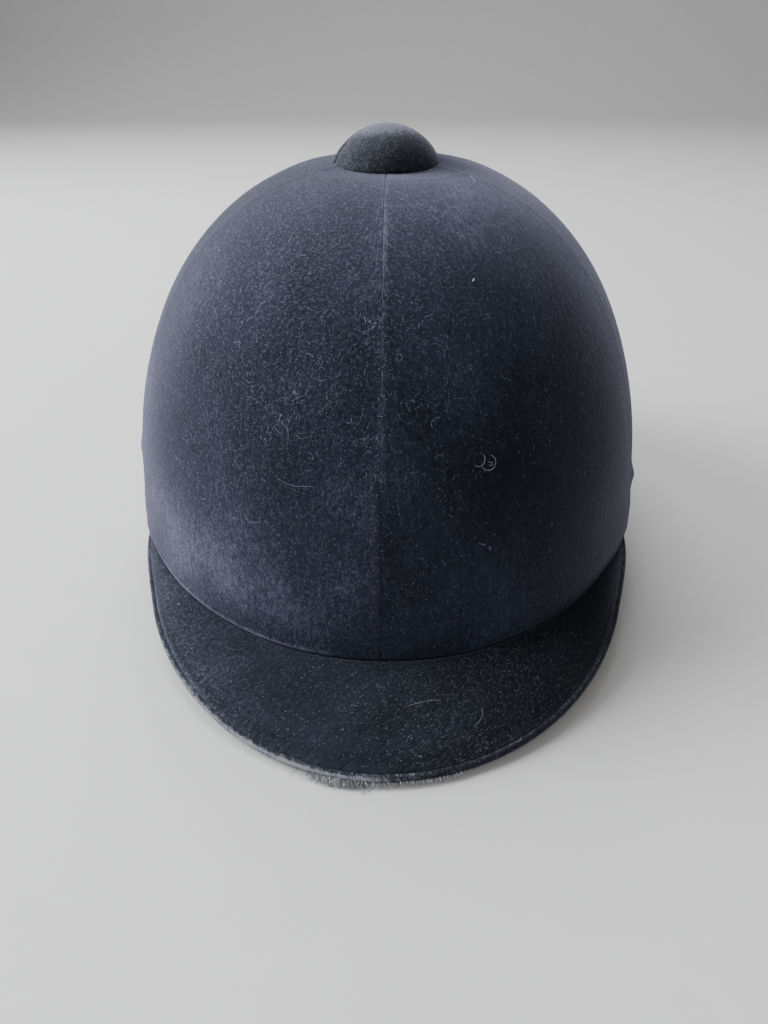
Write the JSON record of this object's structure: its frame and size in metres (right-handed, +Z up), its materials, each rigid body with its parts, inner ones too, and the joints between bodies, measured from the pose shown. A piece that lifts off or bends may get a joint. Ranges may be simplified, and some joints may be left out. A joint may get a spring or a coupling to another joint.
{
  "type": "riding hat",
  "caption": "Hard riding hat: a domed velvet crown in panels, a covered button, a stiff curved peak, a foam liner and a buckled chin harness that swings down on pivot rivets.",
  "frame": {"origin": "middle of the bounding box's footprint, on the surface that the rear rim and the front of the peak stand on", "axes": "+Z up through the crown button, the peak points along -Y, the wearer's left is +X"},
  "size_m": [0.2046, 0.2928, 0.1648],
  "materials": {
    "velvet": "matte",
    "peak_velvet": "matte",
    "shell": "satin",
    "liner_foam": "matte",
    "soft_foam": "matte",
    "board": "matte",
    "lining_satin": "satin",
    "trim_leather": "satin",
    "webbing": "matte",
    "plastic": "satin",
    "steel": "satin",
    "ribbon": "satin"
  },
  "bodies": {
    "hat": {"crown_shell": "shell", "velvet_front_left": "velvet", "velvet_front_right": "velvet", "velvet_side_left": "velvet", "velvet_side_right": "velvet", "velvet_rear_left": "velvet", "velvet_rear_right": "velvet", "eps_liner": "liner_foam", "rim_trim": "trim_leather", "headband_foam": "soft_foam", "sweatband": "trim_leather", "crown_lining": "lining_satin", "crown_pad": "soft_foam", "button_cover": "velvet", "button_core": "board", "button_stud": "steel", "button_washer": "steel", "button_nut": "steel", "peak_cover": "peak_velvet", "peak_core": "board", "peak_lining": "trim_leather", "peak_edge_binding": "peak_velvet", "hanger_left": "webbing", "hanger_right": "webbing", "shell_rivet_left": "steel", "shell_rivet_right": "steel", "pivot_rivet_left": "steel", "pivot_rivet_right": "steel", "bow_loop_left": "ribbon", "bow_loop_right": "ribbon", "bow_tail_left": "ribbon", "bow_tail_right": "ribbon", "bow_knot": "ribbon"},
    "harness": {"strap_short_left": "webbing", "strap_short_right": "webbing", "strap_main": "webbing", "buckle_male": "plastic", "buckle_female": "plastic", "ladder_slider": "plastic"},
    "strap_keeper": {"strap_keeper": "plastic"},
    "chin_cup": {"chin_cup": "plastic", "chin_cup_pad": "soft_foam"},
    "buckle_arm_upper": {"buckle_arm_upper": "plastic"},
    "buckle_arm_lower": {"buckle_arm_lower": "plastic"}
  },
  "joints": [
    {"name": "harness_swing", "type": "hinge", "parent": "hat", "child": "harness", "pos_m": [0, -0.009, 0.011], "axis": [-1, 0, 0], "range_deg": [0, 100]},
    {"name": "keeper_slide", "type": "slide", "parent": "harness", "child": "strap_keeper", "axis": [0.4013, 0.916, 0], "range_m": [-0.006, 0.006]},
    {"name": "chin_cup_slide", "type": "slide", "parent": "harness", "child": "chin_cup", "axis": [1, 0, 0], "range_m": [-0.005, 0.005]},
    {"name": "buckle_press_upper", "type": "slide", "parent": "harness", "child": "buckle_arm_upper", "axis": [0, 0, -1], "range_m": [0, 0.002], "stiffness_N_per_m": 1000},
    {"name": "buckle_press_lower", "type": "slide", "parent": "harness", "child": "buckle_arm_lower", "axis": [0, 0, 1], "range_m": [0, 0.002], "stiffness_N_per_m": 1000}
  ],
  "couplings": [
    {"joint": "buckle_press_lower", "follows": "buckle_press_upper", "ratio": 1}
  ]
}
